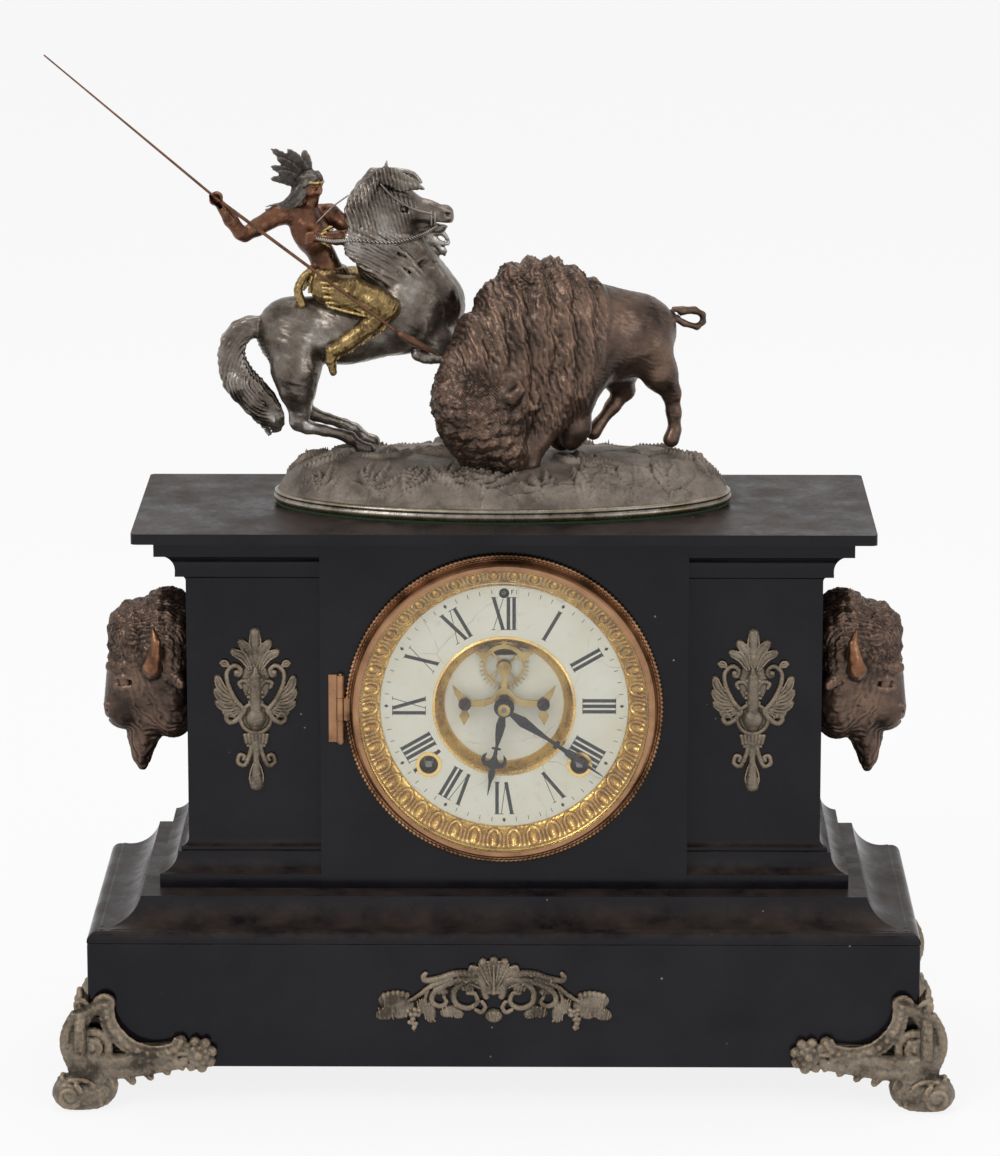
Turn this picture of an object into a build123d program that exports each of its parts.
from build123d import *
from math import acos, atan2, cos, degrees, hypot, pi, radians, sin
import os

os.makedirs("parts", exist_ok=True)

# Sizes are in millimetres. X runs to the right, Y to the back and Z up; Z 0 is the shelf.

# Plinth and ledge
plinth_width = 432.0
plinth_depth = 172.0
plinth_lift = 21.0
plinth_height = 66.5
plinth_wall = 4.0
plinth_edge_round = 1.5
ledge_height = 18.0
ledge_reach = 26.5
ledge_plate = 4.0

# Case
case_height = 185.0
case_wall = 4.0
centre_width = 191.4
centre_setback = 41.5
centre_proud = 15.0
body_width = 332.0
foot_reach = 14.5
foot_rise = 23.5
cornice_reach = 15.5
cornice_rise = 23.0
back_sheet = 4.0
cap_height = 3.5
cap_inset = 5.0
slab_width = 384.0
slab_depth = 152.0
slab_thickness = 5.5
slab_back_lip = 3.0
slab_corner = 3.0
dial_opening_radius = 75.0

# Profiles: each step is (out, up, bulge), shares of the moulding's reach and rise
ledge_shares = ((0.0, 0.10, 0.0), (-0.22, 0.20, -0.2), (-0.04, 0.02, 0.0), (-0.74, 0.68, 0.2))
foot_shares = ((0.0, 0.32, 0.0), (-0.62, 0.42, 0.2), (-0.12, 0.0, 0.0), (0.0, 0.09, 0.0), (-0.26, 0.17, 0.2))
cornice_shares = ((0.22, 0.14, 0.2), (0.12, 0.0, 0.0), (0.0, 0.08, 0.0), (0.52, 0.48, 0.2), (0.14, 0.0, 0.0),
                  (0.0, 0.30, 0.0))

# Back door
door_radius = 61.0
door_hole_radius = 58.0
door_thickness = 2.0
door_gap = 0.3
door_pin_radius = 1.2
door_knuckle_radius = 2.4
door_knuckle_length = 9.0
door_knuckle_count = 3
knob_radius = 5.0
knob_length = 8.0

# Feet
scroll_reach = 76.0
scroll_side_reach = 60.0
scroll_height = 66.0
scroll_thickness = 8.0
pad_width = 35.0
pad_depth = 31.0
pad_height = 19.0
# Rings of the pad: (up, half size)
pad_ring_shares = ((0.0, 0.36), (0.35, 0.5), (0.75, 0.42), (1.3, 0.24))
scroll_outline_shares = ((-0.06, 0.22), (-0.13, 0.44), (-0.13, 0.66), (-0.04, 0.86), (0.04, 0.99), (0.16, 1.0),
                         (0.20, 0.84), (0.34, 0.66), (0.60, 0.58), (0.78, 0.66), (0.94, 0.60), (0.99, 0.44),
                         (0.90, 0.32), (0.72, 0.27), (0.48, 0.21), (0.28, 0.14), (0.10, 0.16))
flower_place_share = (0.82, 0.47)
flower_radius = 9.0
volute_place_share = (0.12, 0.52)
volute_radius = 9.5
curl_place_share = (0.10, 0.90)
curl_radius = 5.0

# Ornaments
crest_height = 86.0
crest_low = 156.4
crest_place = 130.0
crest_thickness = 3.0
crest_ball_radius = 5.7
crest_ball_share = 0.435
festoon_width = 123.0
festoon_low = 42.0
festoon_offset = -5.0
festoon_thickness = 4.0
# Lobes: (across, up, half length, half width, turn in degrees), shares of the crest's height
crest_lobe_shares = ((0.0, 0.87, 0.13, 0.055, 90), (0.07, 0.83, 0.13, 0.045, 66), (0.115, 0.77, 0.12, 0.045, 46),
                     (0.16, 0.70, 0.08, 0.05, 20), (0.0, 0.72, 0.14, 0.12, 90), (0.19, 0.60, 0.14, 0.055, 70),
                     (0.165, 0.54, 0.15, 0.06, 50), (0.14, 0.47, 0.11, 0.06, 20), (0.155, 0.42, 0.055, 0.05, 0),
                     (0.0, 0.55, 0.12, 0.06, 90), (0.0, 0.435, 0.092, 0.092, 0), (0.0, 0.325, 0.075, 0.05, 0),
                     (0.0, 0.22, 0.10, 0.04, 90), (0.07, 0.17, 0.05, 0.045, 0), (0.0, 0.10, 0.10, 0.06, 90),
                     (0.035, 0.12, 0.06, 0.04, 60))
# Lobes of the plinth's ornament, shares of its width
festoon_lobe_shares = ((0.0, 0.21, 0.08, 0.055, 90), (0.045, 0.20, 0.09, 0.035, 60), (0.085, 0.18, 0.09, 0.04, 35),
                       (0.18, 0.195, 0.13, 0.032, -8), (0.115, 0.135, 0.06, 0.055, 0), (0.21, 0.125, 0.055, 0.05, 0),
                       (0.06, 0.10, 0.05, 0.04, 30), (0.0, 0.075, 0.05, 0.05, 0), (0.0, 0.04, 0.04, 0.03, 0),
                       (0.17, 0.075, 0.045, 0.03, 30), (0.275, 0.085, 0.06, 0.03, 65), (0.33, 0.14, 0.10, 0.035, -28),
                       (0.42, 0.115, 0.085, 0.05, -20), (0.355, 0.06, 0.05, 0.035, 80), (0.46, 0.07, 0.035, 0.03, 0))

# Bison heads on the sides: loft sections (out, up, half height, half width), shares of the head's height
head_height = 100.0
head_low = 155.5
head_plane = 8.0
head_section_shares = ((0.0, 0.60, 0.38, 0.26), (0.14, 0.605, 0.41, 0.30), (0.29, 0.59, 0.36, 0.28),
                       (0.40, 0.555, 0.30, 0.22), (0.48, 0.52, 0.19, 0.14))
muzzle_shares = ((0.20, 0.36, 0.17, 0.16), (0.34, 0.33, 0.14, 0.145), (0.43, 0.33, 0.10, 0.11),
                 (0.465, 0.33, 0.05, 0.06))
beard_shares = ((0.26, 0.0, 0.26, 0.12), (0.27, 0.0, 0.12, 0.075), (0.265, 0.0, 0.03, 0.03))
head_horn_shares = ((0.17, -0.24, 0.62, 0.055), (0.155, -0.31, 0.68, 0.05), (0.145, -0.315, 0.75, 0.036),
                    (0.15, -0.30, 0.81, 0.012))

# Statue base
mound_length = 241.4
mound_depth = 118.0
mound_offset = -1.3
mound_back = 20.0
felt_height = 1.2
rim_height = 6.3
rim_inset = 1.2
mound_top_height = 20.5
# Rings of the mound: (height share, length share, depth share)
mound_ring_shares = ((0.0, 0.985, 0.965), (0.30, 0.955, 0.89), (0.62, 0.90, 0.76), (0.88, 0.80, 0.58),
                     (1.0, 0.60, 0.34))
horse_offset = (-73.7, 10.0)
horse_sink = 4.5
bison_offset = (23.3, -13.0)
bison_lift = 2.5

# Horse: all shares are of the height at its withers
withers_height = 100.0
horse_torso_shares = ((-0.54, 0.61, 0.05, 0.05, 0), (-0.49, 0.62, 0.13, 0.11, 5), (-0.37, 0.63, 0.185, 0.17, 5),
                      (-0.22, 0.645, 0.185, 0.175, 8), (-0.03, 0.68, 0.20, 0.18, 12), (0.17, 0.72, 0.205, 0.175, 10),
                      (0.35, 0.75, 0.20, 0.155, 0), (0.48, 0.74, 0.14, 0.11, -10), (0.545, 0.73, 0.05, 0.05, -15))
horse_neck_shares = ((0.27, 0.76, 0.19, 0.13, 112), (0.22, 0.92, 0.215, 0.12, 112), (0.15, 1.06, 0.205, 0.105, 106),
                     (0.08, 1.20, 0.145, 0.09, 96), (0.07, 1.33, 0.12, 0.08, 76), (0.12, 1.42, 0.08, 0.065, 50))
horse_head_shares = ((0.03, 1.38, 0.07, 0.06, -20), (0.17, 1.32, 0.13, 0.08, -20), (0.29, 1.28, 0.105, 0.065, -18),
                     (0.39, 1.255, 0.08, 0.05, -15), (0.455, 1.245, 0.062, 0.045, -12), (0.48, 1.24, 0.04, 0.035, -10))
horse_forelock_shares = ((0.06, 0.0, 1.44, 0.05), (0.16, 0.0, 1.44, 0.055), (0.26, -0.03, 1.42, 0.05),
                         (0.33, -0.04, 1.39, 0.02))
horse_ear_shares = ((0.11, -0.04, 1.42, 0.025), (0.13, -0.05, 1.495, 0.006))
horse_chin_shares = ((0.30, 0.06, 1.12, 0.08), (0.40, 0.09, 1.11, 0.06), (0.46, 0.10, 1.09, 0.035))
horse_tail_shares = ((-0.52, 0.0, 0.64, 0.045), (-0.64, 0.0, 0.63, 0.05), (-0.71, 0.0, 0.52, 0.06),
                     (-0.70, -0.02, 0.39, 0.07), (-0.61, -0.03, 0.26, 0.075), (-0.52, -0.04, 0.16, 0.055),
                     (-0.47, -0.05, 0.09, 0.015))
horse_hind_shares = ((-0.36, 0.0, 0.58, 0.14), (-0.31, 0.0, 0.44, 0.115), (-0.32, 0.0, 0.30, 0.08),
                     (-0.34, 0.0, 0.19, 0.056), (-0.23, 0.0, 0.135, 0.042), (-0.10, 0.0, 0.10, 0.044),
                     (-0.04, 0.0, 0.055, 0.038), (0.015, 0.0, 0.032, 0.05))
horse_fore_shares = ((0.38, 0.0, 0.67, 0.085), (0.43, 0.0, 0.585, 0.06), (0.52, 0.0, 0.56, 0.045),
                     (0.46, 0.0, 0.50, 0.035), (0.36, 0.0, 0.515, 0.035), (0.30, 0.0, 0.53, 0.045))
hind_spread_share = 0.10
fore_spread_share = 0.08

# Rider and lance, in shares of the horse's withers height from the horse's place
rider_torso_shares = ((-0.13, 0.88, 0.10, 0.11, 100), (-0.17, 0.97, 0.085, 0.105, 100), (-0.21, 1.06, 0.08, 0.09, 100),
                      (-0.27, 1.17, 0.10, 0.125, 102), (-0.30, 1.26, 0.085, 0.145, 95), (-0.29, 1.31, 0.04, 0.08, 90))
rider_neck_shares = ((-0.285, 0.0, 1.29, 0.045), (-0.27, 0.0, 1.37, 0.042))
rider_head_share = (-0.275, 0.0, 1.41, 0.078)
rider_face_share = (-0.225, 0.0, 1.385, 0.052)
rider_hair_shares = ((-0.32, 0.0, 1.41, 0.075), (-0.38, -0.03, 1.33, 0.055), (-0.42, -0.04, 1.27, 0.03))
rider_feather_shares = ((-0.30, 0.0, 1.46, 0.06), (-0.36, 0.0, 1.53, 0.055), (-0.42, 0.0, 1.585, 0.035),
                        (-0.46, 0.0, 1.61, 0.012))
rider_feather_up_shares = ((-0.28, 0.03, 1.46, 0.05), (-0.29, 0.03, 1.54, 0.04), (-0.295, 0.03, 1.595, 0.012))
rider_arm_shares = ((-0.47, -0.13, 1.25, 0.05), (-0.595, -0.20, 1.165, 0.042), (-0.66, -0.21, 1.23, 0.038),
                    (-0.735, -0.27, 1.37, 0.03))
rider_fist_share = (-0.749, -0.29, 1.41, 0.045)
rider_shoulder_shares = ((-0.32, -0.04, 1.27, 0.07), (-0.47, -0.13, 1.25, 0.055))
rider_rein_arm_shares = ((-0.20, 0.10, 1.27, 0.06), (-0.07, 0.12, 1.165, 0.045), (-0.18, -0.10, 1.17, 0.036),
                         (-0.25, -0.12, 1.175, 0.03))
rider_rein_hand_share = (-0.27, -0.12, 1.18, 0.038)
rider_leg_shares = ((-0.12, -0.10, 0.89, 0.095), (0.02, -0.19, 0.85, 0.085), (0.15, -0.205, 0.80, 0.06),
                    (0.02, -0.225, 0.66, 0.05), (-0.10, -0.225, 0.57, 0.04))
rider_foot_shares = ((-0.13, -0.225, 0.565, 0.043), (-0.13, -0.23, 0.47, 0.036), (-0.12, -0.23, 0.425, 0.02))
lance_radius = 0.75
lance_end_radius = 0.4
lance_butt_share = (-1.606, -0.50, 2.18)
lance_hand_share = (-0.749, -0.30, 1.413)
lance_head_share = (0.196, -0.30, 0.702)
lance_tip_share = (0.412, -0.27, 0.575)
lance_head_radius = 2.4
lance_grip_share = 1.3
blade_root_share = 0.02
blade_wide_share = 0.35
rein_radius = 0.8
rein_bend_radius = 6.4
rein_shares = ((-0.26, -0.13, 1.185), (-0.04, -0.15, 1.18), (0.17, -0.12, 1.15), (0.38, -0.02, 1.21))

# Bison: shares of the height at its hump; it stands turned towards the viewer
hump_height = 100.0
bison_turn = 22.2
bison_body_shares = ((-0.56, 0.33, 0.10, 0.10, 20), (-0.50, 0.38, 0.22, 0.17, 20), (-0.36, 0.485, 0.335, 0.20, 15),
                     (-0.216, 0.57, 0.40, 0.215, 8), (-0.043, 0.585, 0.42, 0.225, 0), (0.13, 0.575, 0.375, 0.22, 0),
                     (0.30, 0.57, 0.30, 0.205, -5), (0.475, 0.565, 0.225, 0.185, -8), (0.616, 0.57, 0.15, 0.14, -15),
                     (0.69, 0.60, 0.08, 0.08, -20))
bison_head_shares = ((-0.49, 0.01, 0.10, 0.09, 50), (-0.46, 0.05, 0.20, 0.17, 48), (-0.38, 0.13, 0.29, 0.225, 48),
                     (-0.28, 0.20, 0.28, 0.22, 50), (-0.20, 0.27, 0.20, 0.17, 60))
bison_muzzle_shares = ((-0.32, -0.10, 0.16, 0.15), (-0.24, -0.12, 0.03, 0.125), (-0.19, -0.12, -0.005, 0.085))
bison_horn_shares = ((-0.18, -0.16, 0.33, 0.05), (-0.09, -0.31, 0.36, 0.04), (-0.05, -0.35, 0.41, 0.028),
                     (-0.07, -0.34, 0.46, 0.01))
bison_hind_shares = ((0.54, 0.0, 0.53, 0.135), (0.60, 0.0, 0.38, 0.09), (0.665, 0.0, 0.27, 0.05),
                     (0.68, 0.0, 0.14, 0.036), (0.685, 0.0, 0.07, 0.042), (0.66, 0.0, 0.02, 0.05))
bison_far_hind_shares = ((0.52, 0.0, 0.46, 0.13), (0.46, 0.0, 0.34, 0.085), (0.49, 0.0, 0.255, 0.05),
                         (0.36, 0.0, 0.12, 0.038), (0.31, 0.0, 0.05, 0.042), (0.28, 0.0, 0.02, 0.05))
bison_fore_shares = ((0.02, 0.0, 0.30, 0.15), (-0.04, 0.0, 0.16, 0.09), (-0.12, 0.0, 0.04, 0.055),
                     (-0.15, 0.0, -0.045, 0.055))
bison_knee_shares = ((0.10, 0.0, 0.28, 0.16), (0.13, 0.0, 0.12, 0.10), (0.10, 0.0, 0.03, 0.07))
bison_spread_share = 0.11
bison_tail_shares = ((0.66, 0.0, 0.68, 0.022), (0.76, 0.0, 0.63, 0.02), (0.86, 0.0, 0.585, 0.018),
                     (0.90, 0.0, 0.62, 0.016), (0.885, 0.0, 0.665, 0.016), (0.83, 0.0, 0.68, 0.018),
                     (0.74, 0.0, 0.70, 0.018))

# Dial and bezel
dial_height = 203.1
dial_radius = 66.0
dial_inner_radius = 36.4
dial_setback = 5.5
dial_sheet = 0.8
pan_radius = 81.0
pan_step_radius = 74.2
pan_sheet = 1.0
recess_depth = 7.5
recess_radius = 31.6
inner_ring_lip = 1.0
bezel_radius = 81.8
bezel_depth = 9.5
bezel_lip_radius = 75.4
bezel_lip = 1.0
bezel_flange = 1.4
bezel_bead_radius = 1.2
bezel_front_radius = 78.6
glass_radius = 76.4
glass_gap = 0.3
glass_thickness = 2.2
glass_bevel = 1.4
glass_bevel_width = 6.5
reflector_inner_radius = 64.6
reflector_outer_radius = 75.9
reflector_sheet = 0.8
reflector_gap = 0.5
hinge_pin_radius = 0.9
hinge_knuckle_radius = 2.1
hinge_length = 36.0
hinge_axis_out = 85.0
hinge_axis_proud = 2.3
hinge_leaf_width = 4.0
hinge_leaf_sheet = 1.0
knuckle_share = 0.33
run_gap = 0.05
end_gap = 0.2
corner_gap = 0.0035
grommet_wall = 0.5
regulator_hole_radius = 2.65
regulator_square = 2.0
ring_neck_gap = 0.2
anchor_slot_width = 16.0
anchor_slot_height = 14.0
anchor_slot_depth = 6.5
centre_hole_radius = 5.0
screw_slot_turn = 40.0
screw_slot_width = 0.8

# Movement, seen from the front; places are (across, up) from the dial's centre
front_plate_y = -20.5
plate_thickness = 1.5
plate_gap = 36.5
plate_low_half = 70.0
plate_high_half = 57.0
plate_low = -64.0
plate_high = 66.0
pillar_radius = 2.5
pillar_places = ((-50.0, -59.0), (50.0, -59.0), (-50.0, 58.0), (50.0, 58.0))
pivot_radius = 1.0
arbor_radius = 1.4
great_arbor_radius = 2.5
great_place = (39.4, -31.4)
escape_place = (0.0, 20.1)
anchor_place = (0.0, 46.0)
regulator_place = (0.0, 60.4)
wheel_thickness = 1.2
great_thickness = 2.0
pinion_over = 0.8
great_module = 0.7
great_teeth = 72
second_pinion_teeth = 12
second_module = 0.75
second_teeth = 48
centre_teeth = 24
third_pinion_teeth = 8
third_module = 0.5
third_teeth = 56
fourth_pinion_teeth = 8
fourth_module = 0.45
fourth_teeth = 48
escape_pinion_teeth = 6
motion_module = 0.6
cannon_teeth = 12
minute_teeth = 36
hour_module = 0.576
minute_pinion_teeth = 10
hour_teeth = 40
third_bearing = 100.0
fly_bearing = 120.0
minute_bearing = 225.0
# Teeth, in shares of the pitch and of the module
tooth_root_share = 0.36
tooth_tip_share = 0.16
addendum_share = 0.65
dedendum_share = 1.1
# Depths behind the front plate's back face
great_level = 1.0
time_second_level = 7.0
strike_second_level = 12.0
time_third_level = 14.0
fourth_level = 20.0
spring_front_level = 11.0
strike_spring_front_level = 16.0
spring_back_gap = 2.0
spring_radius = 17.5
spring_bore_gap = 0.4
ratchet_radius = 8.0
ratchet_thickness = 1.5
ratchet_teeth = 12
click_gap = 0.2
click_radius = 1.8
ratchet_tooth = 0.9
square_size = 3.4
square_setback = 0.6
grommet_radius = 6.65
grommet_hole_radius = 4.9
grommet_lip = 0.8
escape_radius = 13.0
escape_rim_radius = 10.2
escape_rim_width = 1.3
spoke_turn = 40.0
escape_hub_radius = 4.0
escape_teeth = 32
escape_sheet = 1.0
escape_setback = 2.9
tooth_width = 0.7
spoke_width = 1.2
cock_sheet = 1.5
cock_screw_place = (20.5, 0.9)
cock_screw_radius = 3.3
cock_post_radius = 2.2
cock_hub_radius = 3.6
cock_proud = 1.2
cock_fork_height = 6.0
cock_arm_width = 3.0
# Outline of one arm of the cock, in shares of its screw's distance from the middle
cock_arm_shares = ((-0.05, 0.52), (0.12, 0.44), (0.30, 0.24), (0.50, 0.15), (0.80, 0.13), (0.98, 0.22), (1.22, 0.45),
                   (1.32, 0.54), (1.25, 0.30), (1.12, 0.05), (1.06, -0.12), (1.14, -0.28), (1.02, -0.52), (0.88, -0.28),
                   (0.94, -0.12), (0.85, -0.02), (0.50, -0.02), (0.30, 0.06), (0.16, 0.24), (0.0, 0.36))
anchor_sheet = 1.2
anchor_arm_width = 2.2
anchor_cut_share = 0.72
pallet_boss_radius = 1.8
anchor_horn_shares = ((0.75, 0.42), (0.95, 0.46), (1.14, 0.56), (1.0, 0.66), (0.75, 0.68))
pallet_pin_radius = 0.9
pallet_angle = 60.0
hand_sheet = 0.8
hour_hand_length = 48.0
minute_hand_length = 63.0
hour_hand_angle = 190.4
minute_hand_angle = 125.0
hour_hand_proud = 3.0
minute_hand_proud = 6.2
hand_boss_radius = 5.3
minute_boss_radius = 4.4
collet_radius = 3.2
collet_length = 2.4
cannon_wall = 0.8
stud_length = 7.6
# Half widths along each hand: (along, half width), shares of its length
hour_hand_shares = ((0.0, 0.03), (0.08, 0.03), (0.20, 0.052), (0.30, 0.042), (0.43, 0.017), (0.455, 0.017),
                    (0.457, 0.05), (0.477, 0.05), (0.479, 0.019), (0.56, 0.024), (0.61, 0.05), (0.62, 0.085),
                    (0.59, 0.10), (0.525, 0.09), (0.56, 0.13), (0.62, 0.142), (0.665, 0.11), (0.685, 0.05),
                    (0.70, 0.02), (0.73, 0.036), (0.78, 0.036), (0.84, 0.018), (1.0, 0.003))
minute_hand_shares = ((0.0, 0.022), (0.08, 0.022), (0.19, 0.045), (0.30, 0.030), (0.44, 0.014), (0.51, 0.016),
                      (0.515, 0.036), (0.545, 0.036), (0.55, 0.016), (0.62, 0.018), (0.64, 0.030), (0.70, 0.036),
                      (0.76, 0.018), (1.0, 0.002))

# Pendulum, gong and hammer
pendulum_y = 26.0
pendulum_length = 111.4
rod_radius = 0.9
rod_hook_radius = 2.0
bob_radius = 17.0
bob_thickness = 8.0
rating_nut_radius = 3.0
rating_nut_length = 3.0
strip_width = 5.0
strip_sheet = 0.3
strip_above = 11.0
strip_below = 5.0
cock_block_width = 12.0
cock_block_low = 4.5
cock_block_height = 8.0
cock_block_depth = 14.0
slot_half = 1.2
slot_depth = 6.5
swing_gap = 0.3
crutch_y = 21.2
crutch_sheet = 1.2
crutch_width = 3.0
crutch_drop = 32.0
crutch_hub_radius = 3.5
fork_sheet = 1.5
fork_height = 4.0
gong_y = 42.0
gong_place = (0.0, -52.0)
gong_wire_radius = 1.0
gong_pitch = 5.0
gong_inner_radius = 18.0
gong_half_turns = 8
gong_block = 6.0
gong_post_width = 10.0
gong_post_thickness = 5.0
gong_post_gap = 1.0
hammer_place = (-58.0, 12.0)
hammer_head_radius = 4.0
hammer_head_length = 8.0
hammer_rod_width = 2.0
hammer_rod_sheet = 2.0
hammer_rest_gap = 3.0
hammer_tail_length = 14.0
hammer_tail_width = 2.4
hammer_tail_turn = -20.0
fly_blade_reach = 9.0
fly_blade_sheet = 0.6
fly_blade_length = 8.0
fly_blade_level = 25.0

wheel_rim_share = 0.82
wheel_hub_share = 0.24
round_angle = 78.0
limb_neck_share = 0.94
limb_even_share = 0.01

# Places that follow from the sizes above
ledge_low = plinth_lift + plinth_height
case_low = ledge_low + ledge_height
case_top = case_low + case_height
slab_low = case_top + cap_height
slab_top = slab_low + slab_thickness
back_y = plinth_depth / 2
centre_front = centre_setback - back_y
pilaster_front = centre_front + centre_proud
centre_half = centre_width / 2
body_half = body_width / 2
slab_front = back_y + slab_back_lip - slab_depth
wall_back_y = centre_front + case_wall
dial_y = centre_front + dial_setback
recess_y = dial_y + recess_depth
inner_front = front_plate_y
plate_face = front_plate_y - plate_thickness
inner_back = front_plate_y + plate_gap
plate_rear = inner_back + plate_thickness
rim_low = slab_top + felt_height
rim_top = rim_low + rim_height
mound_top = rim_top + mound_top_height
horse_at = (mound_offset + horse_offset[0], mound_back + horse_offset[1], mound_top - horse_sink)
bison_at = (mound_offset + bison_offset[0], mound_back + bison_offset[1], mound_top + bison_lift)


def upright(y, height=dial_height):
    """A sketching plane facing the viewer at depth y; its own axes run right and up."""
    return Plane(origin=(0, y, height), x_dir=(1, 0, 0), z_dir=(0, -1, 0))


def save(piece, name):
    """Label a finished piece and write it."""
    piece.part.label = name
    export_step(piece.part, f"parts/{name}.step")


def disc(place, radius, back, length):
    """Add a round disc or shaft from depth back towards the viewer."""
    with BuildSketch(upright(back)) as face:
        with Locations(place):
            Circle(radius)
    extrude(face.sketch, amount=length)


def bore(place, radius, back, length):
    """Cut a round hole from depth back towards the viewer."""
    with BuildSketch(upright(back)) as face:
        with Locations(place):
            Circle(radius)
    extrude(face.sketch, amount=length, mode=Mode.SUBTRACT)


def ring(place, outer, inner, back, length):
    """Add a flat ring from depth back towards the viewer."""
    with BuildSketch(upright(back)) as face:
        with Locations(place):
            Circle(outer)
            Circle(inner, mode=Mode.SUBTRACT)
    extrude(face.sketch, amount=length)


def apart(place, other):
    """Distance between two places."""
    return hypot(other[0] - place[0], other[1] - place[1])


def bearing(place, other):
    """Direction from one place to another, in radians."""
    return atan2(other[1] - place[1], other[0] - place[0])


def meeting(place, reach, other, other_reach, side):
    """The place at reach from one place and at other_reach from another, on the chosen side."""
    span = apart(place, other)
    spread = acos((reach**2 + span**2 - other_reach**2) / (2 * reach * span))
    turn = bearing(place, other) + side * spread
    return (place[0] + reach * cos(turn), place[1] + reach * sin(turn))


def beside(place, reach, turn):
    """The place at reach from another in the direction turn, in degrees."""
    return (place[0] + reach * cos(radians(turn)), place[1] + reach * sin(radians(turn)))


def pitch_radius(teeth, module):
    """Radius at which a wheel meshes."""
    return teeth * module / 2


def mesh_phase(place, teeth, phase, other, other_teeth):
    """Angle of a tooth of the second wheel so that its gap meets a tooth of the first."""
    line = bearing(place, other)
    pitches = (line - phase) * teeth / (2 * pi)
    return line + pi - 2 * pi / other_teeth * (0.5 - pitches)


def toothed(place, teeth, module, phase, back, length):
    """Add a toothed wheel: a root disc with narrow tapered teeth."""
    pitch = pi * module
    middle = pitch_radius(teeth, module)
    tip = middle + addendum_share * module
    root = middle - dedendum_share * module
    half_root = tooth_root_share * pitch / 2
    half_tip = tooth_tip_share * pitch / 2
    inside = root - dedendum_share * module / 2
    with BuildSketch(upright(back)) as face:
        with Locations(place):
            Circle(root)
            with PolarLocations(0, teeth, start_angle=degrees(phase)):
                Polygon((inside, -half_root), (tip, -half_tip), (tip, half_tip), (inside, half_root), align=None)
    extrude(face.sketch, amount=length)


def crossed_out(place, outer, inner, back, length):
    """Cut four windows in a wheel, leaving a cross of arms."""
    with BuildSketch(upright(back)) as face:
        with Locations(place):
            Circle(outer)
            Circle(inner, mode=Mode.SUBTRACT)
            Rectangle(2 * outer, inner, mode=Mode.SUBTRACT)
            Rectangle(inner, 2 * outer, mode=Mode.SUBTRACT)
    extrude(face.sketch, amount=length, mode=Mode.SUBTRACT)


def turned(points):
    """Revolve a closed outline of (radius, depth) points about the dial's axis."""
    with BuildSketch(Plane.XY.offset(dial_height)) as face:
        with BuildLine():
            Polyline(*points, close=True)
        make_face()
    revolve(face.sketch, axis=Axis((0, 0, dial_height), (0, 1, 0)))


def arbor(place, radius=None, front=None, back=None):
    """Add an arbor with a pivot at each end, running between the plates."""
    shaft = radius or arbor_radius
    disc(place, shaft, (inner_back - end_gap) if back is None else back,
         (inner_back - end_gap if back is None else back) - (inner_front + end_gap if front is None else front))
    if back is None:
        disc(place, pivot_radius, plate_rear, plate_thickness + 2 * end_gap)
    if front is None:
        disc(place, pivot_radius, inner_front + 2 * end_gap, plate_thickness + 2 * end_gap)


def pinion(place, teeth, module, phase, level, thickness):
    """Add a pinion long enough to overlap the wheel that it meets at a level behind the front plate."""
    toothed(place, teeth, module, phase, inner_front + level + thickness + pinion_over, thickness + 2 * pinion_over)


def wheel(place, teeth, module, phase, level, thickness):
    """Add a crossed-out wheel at a level behind the front plate."""
    back = inner_front + level + thickness
    toothed(place, teeth, module, phase, back, thickness)
    crossed_out(place, pitch_radius(teeth, module) * wheel_rim_share, pitch_radius(teeth, module) * wheel_hub_share,
                back, thickness)


def moulding_points(edge, low, side, reach, rise, shares):
    """Corner points and bulges of a moulding that starts at edge and low and steps by shares."""
    across, up = edge, low
    points = []
    for out_share, up_share, bulge_share in shares:
        across += side * reach * out_share
        up += rise * up_share
        points.append((across, up, side * bulge_share))
    return points


def draw_profile(start, points, inner, top):
    """Draw a moulded outline from start through points, then back along the inner edge."""
    here = Vector(*start)
    first = here
    for across, up, bulge_share in points:
        there = Vector(across, up)
        if bulge_share:
            SagittaArc(here, there, bulge_share * (there - here).length)
        else:
            Line(here, there)
        here = there
    if abs(here.Y - top) > corner_gap:
        Line(here, (here.X, top))
    Line((here.X, top), (inner, top))
    Line((inner, top), (inner, first.Y))
    Line((inner, first.Y), first)


def form(place, turn, size, sections):
    """Add a rounded body: a loft through ellipses at (along, up, half height, half width, lean)."""
    along_axis = Vector(cos(radians(turn)), sin(radians(turn)), 0)
    side_axis = Vector(-sin(radians(turn)), cos(radians(turn)), 0)
    faces = []
    for along, up, half_height, half_width, lean in sections:
        origin = Vector(*place) + along_axis * (along * size) + Vector(0, 0, up * size)
        normal = along_axis * cos(radians(lean)) + Vector(0, 0, sin(radians(lean)))
        with BuildSketch(Plane(origin=origin, x_dir=side_axis, z_dir=normal)) as face:
            Ellipse(half_width * size, half_height * size)
        faces.append(face.sketch)
    loft(faces)


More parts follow.
